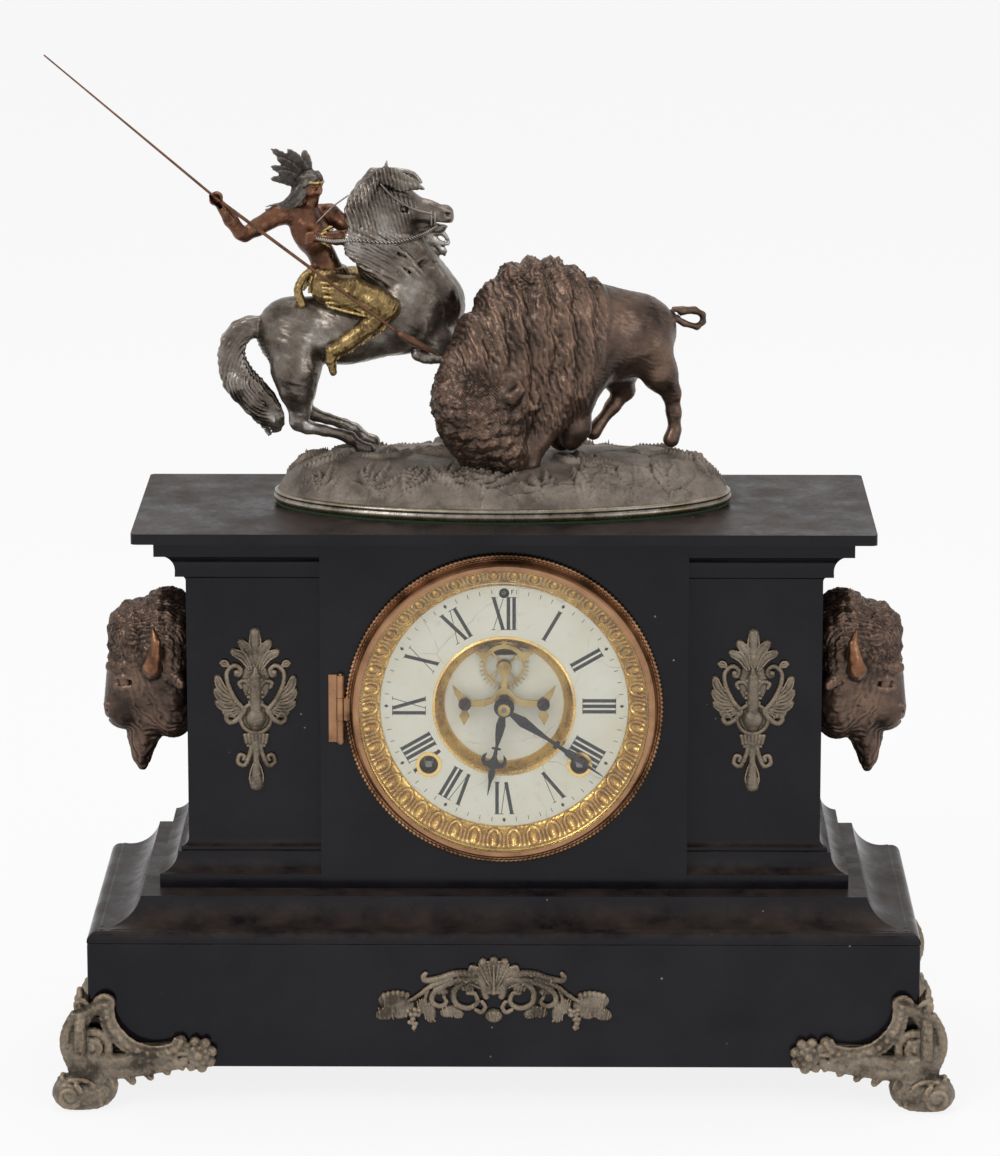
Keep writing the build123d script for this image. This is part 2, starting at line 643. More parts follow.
def limb(place, turn, size, joints, spread=0.0):
    """Add a tapered limb through joints at (along, aside, up, radius)."""
    along_axis = Vector(cos(radians(turn)), sin(radians(turn)), 0)
    side_axis = Vector(-sin(radians(turn)), cos(radians(turn)), 0)
    last = None
    for along, aside, up, radius_share in joints:
        there = (Vector(*place) + along_axis * (along * size) + side_axis * ((aside + spread) * size)
                 + Vector(0, 0, up * size))
        radius = radius_share * size
        if last is not None:
            start, start_radius = last
            run = there - start
            narrow = radius * limb_neck_share
            wide = start_radius * limb_neck_share
            with Locations(Plane(origin=start, z_dir=run)):
                if abs(narrow - wide) < limb_even_share * wide:
                    Cylinder(wide, run.length, align=(Align.CENTER, Align.CENTER, Align.MIN))
                else:
                    Cone(wide, narrow, run.length, align=(Align.CENTER, Align.CENTER, Align.MIN))
        with Locations(Plane(origin=there, z_dir=(there - last[0]) if last else along_axis)):
            Sphere(radius, arc_size1=-round_angle, arc_size2=round_angle)
        last = (there, radius)


def ball(place, size, shares):
    """Add a ball at (along, aside, up, radius) shares from place."""
    along, aside, up, radius = shares
    with Locations(Plane(origin=(place[0] + along * size, place[1] + aside * size, place[2] + up * size),
                         z_dir=(1, 0, 0))):
        Sphere(radius * size, arc_size1=-round_angle, arc_size2=round_angle)


def spot(place, size, shares):
    """A point at (along, aside, up) shares of size from place."""
    return Vector(place[0] + shares[0] * size, place[1] + shares[1] * size, place[2] + shares[2] * size)


# Plinth
with BuildPart() as plinth_shell:
    with BuildSketch(Plane.XY.offset(plinth_lift)):
        Rectangle(plinth_width, plinth_depth)
    extrude(amount=plinth_height)
    fillet(plinth_shell.edges().filter_by(Axis.Z), plinth_edge_round)
    fillet(plinth_shell.faces().sort_by(Axis.Z)[-1].edges(), plinth_edge_round)
    with BuildSketch(Plane.XY.offset(plinth_lift)):
        Rectangle(plinth_width - 2 * plinth_wall, plinth_depth - 2 * plinth_wall)
    extrude(amount=plinth_height, mode=Mode.SUBTRACT)
save(plinth_shell, "plinth_shell")

# Ledge: its moulding runs along the front and both sides and is cut flat at the back
plinth_half = plinth_width / 2
ledge_half = plinth_half - ledge_reach
side_points = moulding_points(plinth_half, ledge_low, 1, ledge_reach, ledge_height, ledge_shares)
front_points = moulding_points(-back_y, ledge_low, -1, ledge_reach, ledge_height, ledge_shares)
with BuildPart() as base_moulding:
    with BuildSketch(Plane.XZ):
        with BuildLine():
            draw_profile((plinth_half, ledge_low), side_points, 0, case_low)
        make_face()
        mirror(about=Plane.YZ)
    extrude(amount=plinth_depth, both=True)
    with BuildSketch(Plane.YZ):
        with BuildLine():
            draw_profile((-back_y, ledge_low), front_points, back_y, case_low)
        make_face()
    extrude(amount=plinth_width, both=True, mode=Mode.INTERSECT)
    with BuildSketch(Plane.XY.offset(ledge_low)):
        Rectangle(2 * (ledge_half - plinth_wall), plinth_depth - ledge_reach * 2 - plinth_wall)
    extrude(amount=ledge_height - ledge_plate, mode=Mode.SUBTRACT)
save(base_moulding, "base_moulding")

# Case body: front wall with the dial hole and two inner side walls
with BuildPart() as case_body:
    with BuildSketch(Plane.XY.offset(case_low)):
        with Locations((0, (centre_front + back_y - back_sheet) / 2)):
            Rectangle(centre_width, back_y - back_sheet - centre_front)
        with Locations((0, (wall_back_y + back_y) / 2)):
            Rectangle(centre_width - 2 * case_wall, back_y - wall_back_y, mode=Mode.SUBTRACT)
    extrude(amount=case_height)
    bore((0, 0), dial_opening_radius, back_y, plinth_depth)
save(case_body, "case_body")

# Pilasters: a hollow casting each, moulded at foot and head on the front and the outer side
foot_points = moulding_points(body_half + foot_reach, case_low, 1, foot_reach, foot_rise, foot_shares)
head_points = moulding_points(body_half, case_top - cornice_rise, 1, cornice_reach, cornice_rise, cornice_shares)
front_foot = moulding_points(pilaster_front - foot_reach, case_low, -1, foot_reach, foot_rise, foot_shares)
front_head = moulding_points(pilaster_front, case_top - cornice_rise, -1, cornice_reach, cornice_rise,
                             cornice_shares)
shaft_low = case_low + foot_rise
shaft_top = case_top - cornice_rise
with BuildPart() as pilasters:
    with BuildSketch(Plane.XZ):
        with BuildLine():
            draw_profile((body_half + foot_reach, case_low),
                         foot_points + [(body_half, shaft_top, 0.0)] + head_points, centre_half, case_top)
        make_face()
    extrude(amount=plinth_depth, both=True)
    with BuildSketch(Plane.YZ):
        with BuildLine():
            draw_profile((pilaster_front - foot_reach, case_low),
                         front_foot + [(pilaster_front, shaft_top, 0.0)] + front_head, back_y, case_top)
        make_face()
    extrude(amount=plinth_width, both=True, mode=Mode.INTERSECT)
    with BuildSketch(Plane.XY.offset(case_low)):
        with Locations(((centre_half + body_half - case_wall) / 2, (pilaster_front + case_wall + back_y) / 2)):
            Rectangle(body_half - case_wall - centre_half, back_y - pilaster_front - case_wall)
    extrude(amount=case_height, mode=Mode.SUBTRACT)
    mirror(about=Plane.YZ)
save(pilasters, "pilasters")

# Back panel, set between the pilasters' side walls, with a round hole for the movement
panel_half = body_half - case_wall
with BuildPart() as back_panel:
    with BuildSketch(Plane.XY.offset(case_low)):
        with Locations((0, back_y - back_sheet / 2)):
            Rectangle(2 * panel_half, back_sheet)
    extrude(amount=case_height)
    bore((0, 0), door_hole_radius, back_y, back_sheet)
    knuckle_low = dial_height - (door_knuckle_length * door_knuckle_count / 2 + end_gap)
    for low in (knuckle_low, knuckle_low + 2 * (door_knuckle_length + end_gap)):
        with BuildSketch(Plane.XY.offset(low)):
            with Locations((-door_radius - door_knuckle_radius, back_y + door_knuckle_radius + door_gap)):
                Circle(door_knuckle_radius)
            with Locations((-door_radius - door_knuckle_radius, back_y + door_knuckle_radius / 2)):
                Rectangle(2 * door_knuckle_radius, door_knuckle_radius)
            with Locations((-door_radius - door_knuckle_radius, back_y + door_knuckle_radius + door_gap)):
                Circle(door_pin_radius, mode=Mode.SUBTRACT)
        extrude(amount=door_knuckle_length)
save(back_panel, "back_panel")

door_axis = (-door_radius - door_knuckle_radius, back_y + door_knuckle_radius + door_gap)
door_face_y = back_y + door_gap + door_thickness
with BuildPart() as back_door:
    disc((0, 0), door_radius, door_face_y, door_thickness)
    with BuildSketch(Plane.XY.offset(dial_height - door_knuckle_length / 2)):
        with Locations(door_axis):
            Circle(door_knuckle_radius)
        with Locations((door_axis[0] + 2 * door_knuckle_radius, door_face_y - door_thickness / 2)):
            Rectangle(4 * door_knuckle_radius, door_thickness)
        with Locations(door_axis):
            Circle(door_pin_radius + run_gap, mode=Mode.SUBTRACT)
    extrude(amount=door_knuckle_length)
    disc((door_radius - 2 * knob_radius, 0), knob_radius / 2, door_face_y + knob_length, knob_length)
    disc((door_radius - 2 * knob_radius, 0), knob_radius, door_face_y + knob_length, knob_length / 2)
save(back_door, "back_door")

# Top slab, with a shallow step below it
with BuildPart() as top_slab:
    with BuildSketch(Plane.XY.offset(case_top)):
        with Locations((0, (pilaster_front - cornice_reach + cap_inset + back_y) / 2)):
            Rectangle(2 * (body_half + cornice_reach - cap_inset), back_y - pilaster_front + cornice_reach - cap_inset)
    extrude(amount=cap_height)
    with BuildSketch(Plane.XY.offset(slab_low)):
        with Locations((0, (slab_front + back_y + slab_back_lip) / 2)):
            RectangleRounded(slab_width, slab_depth, slab_corner)
    extrude(amount=slab_thickness)
save(top_slab, "top_slab")

# Feet: each is a front wing and a side wing that meet at the plinth's corner, on a rounded pad
pad_at = (-plinth_half - scroll_thickness / 4, -back_y + scroll_thickness / 8)
with BuildPart() as foot:
    for along, facing, reach, thickness in (((1, 0, 0), (0, -1, 0), scroll_reach, scroll_thickness),
                                            ((0, 1, 0), (1, 0, 0), scroll_side_reach, -scroll_thickness)):
        corners = [(reach * across, scroll_height * up) for across, up in scroll_outline_shares]
        half_way = len(corners) // 2
        with BuildSketch(Plane(origin=(-plinth_half, -back_y, 0), x_dir=along, z_dir=facing)):
            with BuildLine():
                first = Spline(*corners[:half_way + 1])
                Spline(*corners[half_way:], corners[0], tangents=(first % 1, first % 0))
            make_face()
        extrude(amount=thickness)
    for place_share, radius in ((flower_place_share, flower_radius), (volute_place_share, volute_radius),
                                (curl_place_share, curl_radius)):
        with Locations((scroll_reach * place_share[0] - plinth_half, -back_y - scroll_thickness / 2,
                        scroll_height * place_share[1])):
            Sphere(radius, arc_size1=-round_angle, arc_size2=round_angle)
        with Locations((-plinth_half - scroll_thickness / 2, scroll_side_reach * place_share[0] - back_y,
                        scroll_height * place_share[1])):
            Sphere(radius, arc_size1=-round_angle, arc_size2=round_angle)
    for up_share, half_share in pad_ring_shares:
        with BuildSketch(Plane.XY.offset(pad_height * up_share)):
            with Locations(pad_at):
                Ellipse(pad_width * half_share, pad_depth * half_share)
    loft()
    with BuildSketch(Plane.XY.offset(plinth_lift)):
        Rectangle(plinth_width, plinth_depth)
    extrude(amount=plinth_height, mode=Mode.SUBTRACT)
with BuildPart() as feet:
    add(foot.part)
    mirror(about=Plane.YZ)
    mirror(about=Plane.XZ)
save(feet, "feet")


def lobes(size, shares):
    """Draw overlapping lobes and their mirror images."""
    for across, up, half_length, half_width, turn in shares:
        for side in (-1, 1) if across else (1,):
            with Locations((side * across * size, up * size)):
                Ellipse(half_length * size, half_width * size, rotation=side * turn)


# Ornaments
with BuildPart() as pilaster_ornaments:
    for side in (-1, 1):
        with BuildSketch(Plane(origin=(side * crest_place, pilaster_front, crest_low), x_dir=(1, 0, 0),
                               z_dir=(0, -1, 0))):
            lobes(crest_height, crest_lobe_shares)
        extrude(amount=crest_thickness)
        with Locations((side * crest_place, pilaster_front - crest_thickness,
                        crest_low + crest_ball_share * crest_height)):
            Sphere(crest_ball_radius, arc_size1=-round_angle, arc_size2=round_angle)
    with BuildSketch(Plane.XZ.offset(-pilaster_front)):
        with Locations((0, crest_low + crest_height / 2)):
            Rectangle(plinth_width, plinth_height + crest_height)
    extrude(amount=-crest_height, mode=Mode.SUBTRACT)
save(pilaster_ornaments, "pilaster_ornaments")
with BuildPart() as base_ornament:
    with BuildSketch(Plane(origin=(festoon_offset, -back_y, festoon_low), x_dir=(1, 0, 0), z_dir=(0, -1, 0))):
        lobes(festoon_width, festoon_lobe_shares)
    extrude(amount=festoon_thickness)
save(base_ornament, "base_ornament")

# Bison heads
with BuildPart() as bison_heads:
    wall_place = (body_half, head_plane, head_low)
    form(wall_place, 0, head_height, [row + (0,) for row in head_section_shares])
    form(wall_place, 0, head_height, [row + (0,) for row in muzzle_shares])
    limb(wall_place, 0, head_height, beard_shares)
    for side in (-1, 1):
        limb(wall_place, 0, head_height, [(out, -side * aside, up, r) for out, aside, up, r in head_horn_shares])
    mirror(about=Plane.YZ)
save(bison_heads, "bison_heads")

# Statue base: an oval mound with a moulded rim, on felt
mound_at = (mound_offset, mound_back)
with BuildPart() as felt_pad:
    with BuildSketch(Plane.XY.offset(slab_top)):
        with Locations(mound_at):
            Ellipse(mound_length / 2 - rim_inset, mound_depth / 2 - rim_inset)
    extrude(amount=felt_height)
save(felt_pad, "felt_pad")
with BuildPart() as statue_base:
    with BuildSketch(Plane.XY.offset(rim_low)):
        with Locations(mound_at):
            Ellipse(mound_length / 2, mound_depth / 2)
    extrude(amount=rim_height)
    faces = []
    for up, long_share, deep_share in mound_ring_shares:
        with BuildSketch(Plane.XY.offset(rim_top + up * mound_top_height)) as ring_face:
            with Locations(mound_at):
                Ellipse(long_share * mound_length / 2, deep_share * mound_depth / 2)
        faces.append(ring_face.sketch)
    loft(faces)
save(statue_base, "statue_base")

# Horse
with BuildPart() as horse:
    form(horse_at, 0, withers_height, horse_torso_shares)
    form(horse_at, 0, withers_height, horse_neck_shares)
    form(horse_at, 0, withers_height, horse_head_shares)
    limb(horse_at, 0, withers_height, horse_tail_shares)
    limb(horse_at, 0, withers_height, horse_forelock_shares)
    limb(horse_at, 0, withers_height, horse_ear_shares)
    limb(horse_at, 0, withers_height, horse_chin_shares)
    for side in (-1, 1):
        limb(horse_at, 0, withers_height, horse_hind_shares, side * hind_spread_share)
        limb(horse_at, 0, withers_height, horse_fore_shares, side * fore_spread_share)
save(horse, "horse")

# Lance: a wire shaft in two straight runs with a flat leaf-shaped head
butt, grip, neck, tip = (spot(horse_at, withers_height, row) for row in
                         (lance_butt_share, lance_hand_share, lance_head_share, lance_tip_share))
blade = tip - neck
with BuildPart() as lance:
    for start, end, wide, narrow in ((grip, butt, lance_radius, lance_end_radius),
                                     (grip, neck, lance_radius * lance_grip_share, lance_radius)):
        with Locations(Plane(origin=start, z_dir=end - start)):
            Cone(wide, narrow, (end - start).length, align=(Align.CENTER, Align.CENTER, Align.MIN))
    with Locations(Plane(origin=grip)):
        Sphere(lance_radius * lance_grip_share, arc_size1=-round_angle, arc_size2=round_angle)
    with Locations(Plane(origin=neck - blade * blade_root_share, z_dir=blade)):
        Cone(lance_head_radius / 2, lance_head_radius, blade.length * blade_wide_share,
             align=(Align.CENTER, Align.CENTER, Align.MIN))
    with Locations(Plane(origin=neck + blade * (blade_wide_share - blade_root_share), z_dir=blade)):
        Cone(lance_head_radius, lance_end_radius, blade.length * (1 - blade_wide_share),
             align=(Align.CENTER, Align.CENTER, Align.MIN))
save(lance, "lance")

# Reins
with BuildPart() as reins:
    with BuildLine() as rein_line:
        FilletPolyline(*[spot(horse_at, withers_height, row) for row in rein_shares],
                       radius=[rein_bend_radius, rein_bend_radius])
    with BuildSketch(Plane(origin=rein_line.line @ 0, z_dir=rein_line.line % 0)):
        Circle(rein_radius)
    sweep(path=rein_line.line)
save(reins, "reins")

# Rider
with BuildPart() as rider:
    form(horse_at, 0, withers_height, rider_torso_shares)
    limb(horse_at, 0, withers_height, rider_neck_shares)
    ball(horse_at, withers_height, rider_head_share)
    ball(horse_at, withers_height, rider_face_share)
    limb(horse_at, 0, withers_height, rider_hair_shares)
    limb(horse_at, 0, withers_height, rider_feather_shares)
    limb(horse_at, 0, withers_height, rider_feather_up_shares)
    limb(horse_at, 0, withers_height, rider_shoulder_shares)
    limb(horse_at, 0, withers_height, rider_arm_shares)
    ball(horse_at, withers_height, rider_fist_share)
    limb(horse_at, 0, withers_height, rider_rein_arm_shares)
    ball(horse_at, withers_height, rider_rein_hand_share)
    for side in (1, -1):
        limb(horse_at, 0, withers_height, [(x, side * y, z, r) for x, y, z, r in rider_leg_shares])
        limb(horse_at, 0, withers_height, [(x, side * y, z, r) for x, y, z, r in rider_foot_shares])
save(rider, "rider")

# Bison
with BuildPart() as bison:
    form(bison_at, bison_turn, hump_height, bison_body_shares)
    limb(bison_at, bison_turn, hump_height, bison_far_hind_shares, bison_spread_share)
    limb(bison_at, bison_turn, hump_height, bison_hind_shares, -bison_spread_share)
    limb(bison_at, bison_turn, hump_height, bison_fore_shares, -bison_spread_share)
    limb(bison_at, bison_turn, hump_height, bison_knee_shares, bison_spread_share)
    form(bison_at, bison_turn, hump_height, bison_head_shares)
    for shares in (bison_muzzle_shares, bison_horn_shares, bison_tail_shares):
        limb(bison_at, bison_turn, hump_height, shares)
save(bison, "bison")

# Bezel
glass_front = centre_front - bezel_depth + bezel_lip
glass_back = glass_front + glass_thickness
rebate_radius = glass_radius + glass_gap
with BuildPart() as bezel_ring:
    turned(((rebate_radius, centre_front), (bezel_radius, centre_front), (bezel_radius, centre_front - bezel_flange),
            (bezel_radius - 2 * bezel_bead_radius, centre_front - bezel_flange - bezel_bead_radius / 2),
            (bezel_front_radius, centre_front - bezel_depth + bezel_lip),
            (bezel_front_radius - bezel_lip, centre_front - bezel_depth),
            (bezel_lip_radius, centre_front - bezel_depth), (bezel_lip_radius, glass_front),
            (rebate_radius, glass_front)))
    with BuildSketch(Plane.XY.offset(dial_height)):
        with Locations((bezel_radius - bezel_bead_radius, centre_front - bezel_flange)):
            Circle(bezel_bead_radius)
    revolve(axis=Axis((0, 0, dial_height), (0, 1, 0)))
    hinge_axis = (-hinge_axis_out, centre_front - hinge_axis_proud)
    knuckle = hinge_length * knuckle_share
    with BuildSketch(Plane.XY.offset(dial_height - knuckle / 2)):
        with Locations(hinge_axis):
            Circle(hinge_knuckle_radius)
        with Locations((-(hinge_axis_out + bezel_radius - bezel_bead_radius) / 2, hinge_axis[1])):
            Rectangle(hinge_axis_out - bezel_radius + bezel_bead_radius, hinge_knuckle_radius)
        with Locations(hinge_axis):
            Circle(hinge_pin_radius + run_gap, mode=Mode.SUBTRACT)
    extrude(amount=knuckle)
save(bezel_ring, "bezel_ring")
with BuildPart() as bezel_glass:
    turned(((0, glass_back), (glass_radius, glass_back), (glass_radius, glass_front),
            (bezel_lip_radius - glass_gap, glass_front),
            (bezel_lip_radius - glass_bevel_width, glass_front - glass_bevel), (0, glass_front - glass_bevel)))
save(bezel_glass, "bezel_glass")
reflector_back = dial_y - reflector_gap
with BuildPart() as bezel_reflector:
    turned(((reflector_outer_radius, glass_back), (reflector_outer_radius - reflector_sheet, glass_back),
            (reflector_inner_radius, reflector_back - reflector_sheet), (reflector_inner_radius, reflector_back),
            (reflector_inner_radius + reflector_sheet, reflector_back),
            (reflector_outer_radius, glass_back + reflector_sheet)))
save(bezel_reflector, "bezel_reflector")
with BuildPart() as bezel_hinge_leaf:
    leaf_in = hinge_axis_out + hinge_knuckle_radius + end_gap
    leaf_middle = leaf_in + hinge_leaf_width / 2
    with BuildSketch(Plane.XY.offset(dial_height - hinge_length / 2)):
        with Locations((-leaf_middle, centre_front - hinge_leaf_sheet / 2)):
            Rectangle(hinge_leaf_width, hinge_leaf_sheet)
    extrude(amount=hinge_length)
    for low in (dial_height - hinge_length / 2, dial_height + knuckle / 2 + end_gap):
        with BuildSketch(Plane.XY.offset(low)):
            with Locations(hinge_axis):
                Circle(hinge_knuckle_radius)
            with Locations((-(hinge_axis_out + leaf_in) / 2, centre_front - hinge_leaf_sheet / 2)):
                Rectangle(leaf_in - hinge_axis_out + hinge_leaf_sheet, hinge_leaf_sheet)
            with Locations(hinge_axis):
                Circle(hinge_pin_radius, mode=Mode.SUBTRACT)
        extrude(amount=(hinge_length - knuckle) / 2 - end_gap)
save(bezel_hinge_leaf, "bezel_hinge_leaf")
with BuildPart() as hinge_pins:
    for axis_place, pin_radius, middle, length in (
            (hinge_axis, hinge_pin_radius, dial_height, hinge_length),
            (door_axis, door_pin_radius, dial_height,
             door_knuckle_length * door_knuckle_count + 2 * end_gap)):
        with BuildSketch(Plane.XY.offset(middle - length / 2 - pin_radius)):
            with Locations(axis_place):
                Circle(pin_radius)
        extrude(amount=length + 2 * pin_radius)
save(hinge_pins, "hinge_pins")

# Dial
great_places = ((-great_place[0], great_place[1]), great_place)
with BuildPart() as dial_pan:
    turned(((dial_inner_radius + pan_sheet, dial_y + dial_sheet), (pan_step_radius, dial_y + dial_sheet),
            (pan_step_radius, wall_back_y), (pan_radius, wall_back_y), (pan_radius, dial_y + dial_sheet + pan_sheet),
            (dial_inner_radius + pan_sheet, dial_y + dial_sheet + pan_sheet)))
    for place in great_places:
        bore(place, grommet_hole_radius + 2 * grommet_wall, recess_y, dial_setback + recess_depth)
    bore(regulator_place, regulator_hole_radius, recess_y, dial_setback + recess_depth)
save(dial_pan, "dial_pan")
with BuildPart() as dial_chapter:
    ring((0, 0), dial_radius, dial_inner_radius, dial_y + dial_sheet, dial_sheet)
    for place in great_places:
        bore(place, grommet_hole_radius + grommet_wall + run_gap, dial_y + dial_sheet, dial_sheet)
    bore(regulator_place, regulator_hole_radius, dial_y + dial_sheet, dial_sheet)
save(dial_chapter, "dial_chapter")
with BuildPart() as winding_grommets:
    for place in great_places:
        ring(place, grommet_radius, grommet_hole_radius, dial_y, grommet_lip)
        ring(place, grommet_hole_radius + grommet_wall, grommet_hole_radius, dial_y + dial_sheet, dial_sheet)
save(winding_grommets, "winding_grommets")
ring_neck = dial_inner_radius - ring_neck_gap
with BuildPart() as dial_inner_ring:
    turned(((ring_neck, dial_y), (dial_inner_radius + inner_ring_lip, dial_y),
            (dial_inner_radius + inner_ring_lip, dial_y - inner_ring_lip / 2), (ring_neck, dial_y - inner_ring_lip),
            (ring_neck - inner_ring_lip, dial_y), (recess_radius, recess_y - 2 * inner_ring_lip),
            (recess_radius - inner_ring_lip / 2, recess_y - inner_ring_lip),
            (recess_radius - inner_ring_lip / 2, recess_y), (recess_radius + inner_ring_lip, recess_y),
            (ring_neck, dial_y + 2 * inner_ring_lip)))
    with BuildSketch(upright(recess_y + dial_sheet)):
        with Locations((0, recess_radius)):
            Rectangle(anchor_slot_width, anchor_slot_height)
    extrude(amount=anchor_slot_depth, mode=Mode.SUBTRACT)
save(dial_inner_ring, "dial_inner_ring")
with BuildPart() as dial_centre:
    disc((0, 0), recess_radius + 2 * inner_ring_lip, recess_y + dial_sheet, dial_sheet)
    bore((0, 0), centre_hole_radius, recess_y + dial_sheet, dial_sheet)
    bore(escape_place, cock_post_radius, recess_y + dial_sheet, dial_sheet)
    for side in (-1, 1):
        bore((side * cock_screw_place[0], cock_screw_place[1]), cock_post_radius + end_gap, recess_y + dial_sheet,
             dial_sheet)
    with BuildSketch(upright(recess_y + dial_sheet)):
        with Locations((0, recess_radius + inner_ring_lip)):
            Rectangle(anchor_slot_width, anchor_slot_height)
    extrude(amount=dial_sheet, mode=Mode.SUBTRACT)
save(dial_centre, "dial_centre")

# Escapement in front of the dial
escape_back = recess_y - escape_setback + escape_sheet
cock_back = escape_back - escape_sheet - cock_proud - anchor_sheet - end_gap
with BuildPart() as escapement_cock:
    with BuildSketch(upright(cock_back)):
        with Locations(escape_place):
            Circle(cock_hub_radius)
        with Locations((0, (escape_place[1] + cock_fork_height) / 2)):
            Rectangle(cock_arm_width, escape_place[1] - cock_fork_height)
        for side in (-1, 1):
            with BuildLine():
                Polyline(*[(side * cock_screw_place[0] * across, cock_screw_place[0] * up)
                           for across, up in cock_arm_shares], close=True)
            make_face()
            with Locations((side * cock_screw_place[0], cock_screw_place[1])):
                Circle(cock_screw_radius)
    extrude(amount=cock_sheet)
    disc(escape_place, cock_hub_radius / 2 + run_gap, cock_back + cock_proud, cock_proud)
    for side in (-1, 1):
        disc((side * cock_screw_place[0], cock_screw_place[1]), cock_post_radius, plate_face, plate_face - cock_back)
    bore(escape_place, pivot_radius + run_gap, cock_back + cock_proud, cock_proud + cock_sheet / 2)
save(escapement_cock, "escapement_cock")
with BuildPart() as cock_screws:
    for side in (-1, 1):
        place = (side * cock_screw_place[0], cock_screw_place[1])
        disc(place, cock_screw_radius, cock_back - cock_sheet, cock_sheet)
        with BuildSketch(upright(cock_back - 2 * cock_sheet)):
            with Locations(Location(place, screw_slot_turn)):
                Rectangle(2 * cock_screw_radius, screw_slot_width)
        extrude(amount=-cock_sheet / 2, mode=Mode.SUBTRACT)
save(cock_screws, "cock_screws")

# Train places
second_place = meeting((0, 0), pitch_radius(second_teeth + centre_teeth, second_module), great_place,
                       pitch_radius(great_teeth + second_pinion_teeth, great_module), 1)
third_place = beside(second_place, pitch_radius(second_teeth + third_pinion_teeth, second_module), third_bearing)
fourth_place = meeting(escape_place, pitch_radius(fourth_teeth + escape_pinion_teeth, fourth_module), third_place,
                       pitch_radius(third_teeth + fourth_pinion_teeth, third_module), 1)
strike_great_place = (-great_place[0], great_place[1])
strike_second_place = (-second_place[0], second_place[1])
strike_third_place = (-third_place[0], third_place[1])
fly_place = beside(strike_third_place, pitch_radius(third_teeth + fourth_pinion_teeth, third_module), fly_bearing)
minute_place = beside((0, 0), pitch_radius(cannon_teeth + minute_teeth, motion_module), minute_bearing)

# Escape wheel: long fine teeth on a thin rim with four arms
with BuildPart() as escape_wheel:
    with BuildSketch(upright(escape_back)):
        with Locations(escape_place):
            Circle(escape_rim_radius + escape_rim_width / 2)
            Circle(escape_rim_radius - escape_rim_width / 2, mode=Mode.SUBTRACT)
            with PolarLocations(0, escape_teeth):
                Polygon((escape_rim_radius, -tooth_width / 2), (escape_radius, -tooth_width / 8),
                        (escape_radius, tooth_width / 8), (escape_rim_radius, tooth_width / 2), align=None)
            Rectangle(2 * escape_rim_radius, spoke_width, rotation=spoke_turn)
            Rectangle(spoke_width, 2 * escape_rim_radius, rotation=spoke_turn)
            Circle(escape_hub_radius)
    extrude(amount=escape_sheet)
    arbor(escape_place, pivot_radius, cock_back, None)
    pinion(escape_place, escape_pinion_teeth, fourth_module,
           mesh_phase(fourth_place, fourth_teeth, 0, escape_place, escape_pinion_teeth), fourth_level, wheel_thickness)
save(escape_wheel, "escape_wheel")

# Pallet anchor with its arbor and crutch
anchor_back = escape_back - escape_sheet - cock_proud
with BuildPart() as pallet_anchor:
    with BuildSketch(upright(anchor_back)):
        with Locations(escape_place):
            Circle(escape_rim_radius + anchor_arm_width)
            Circle(escape_rim_radius, mode=Mode.SUBTRACT)
            with Locations((0, -escape_radius * anchor_cut_share)):
                Rectangle(4 * escape_radius, 2 * escape_radius, mode=Mode.SUBTRACT)
        for side in (-1, 1):
            with Locations(beside(escape_place, escape_radius, 90 + side * pallet_angle)):
                Circle(pallet_boss_radius)
            with BuildLine():
                Polyline(*[(escape_place[0] + side * escape_radius * across, escape_place[1] + escape_radius * up)
                           for across, up in anchor_horn_shares], close=True)
            make_face()
        with Locations((0, (escape_place[1] + escape_rim_radius + anchor_place[1]) / 2)):
            Rectangle(anchor_arm_width, anchor_place[1] - escape_place[1] - escape_rim_radius)
        with Locations(anchor_place):
            Circle(crutch_hub_radius)
    extrude(amount=anchor_sheet)
    for side in (-1, 1):
        disc(beside(escape_place, escape_radius, 90 + side * pallet_angle), pallet_pin_radius,
             anchor_back + cock_proud - swing_gap, cock_proud - swing_gap)
    disc(anchor_place, pivot_radius, crutch_y, crutch_y - anchor_back)
    disc(anchor_place, crutch_hub_radius, crutch_y, crutch_sheet)
    with BuildSketch(upright(crutch_y)):
        with Locations((0, anchor_place[1] - crutch_drop / 2)):
            Rectangle(crutch_width, crutch_drop)
        with Locations((0, anchor_place[1] - crutch_drop)):
            Rectangle(2 * (rod_radius + swing_gap + fork_sheet), fork_height)
    extrude(amount=crutch_sheet)
    with BuildSketch(upright(pendulum_y + fork_height)):
        for side in (-1, 1):
            with Locations((side * (rod_radius + swing_gap + fork_sheet / 2), anchor_place[1] - crutch_drop)):
                Rectangle(fork_sheet, fork_height)
    extrude(amount=pendulum_y + fork_height - crutch_y + crutch_sheet)
save(pallet_anchor, "pallet_anchor")

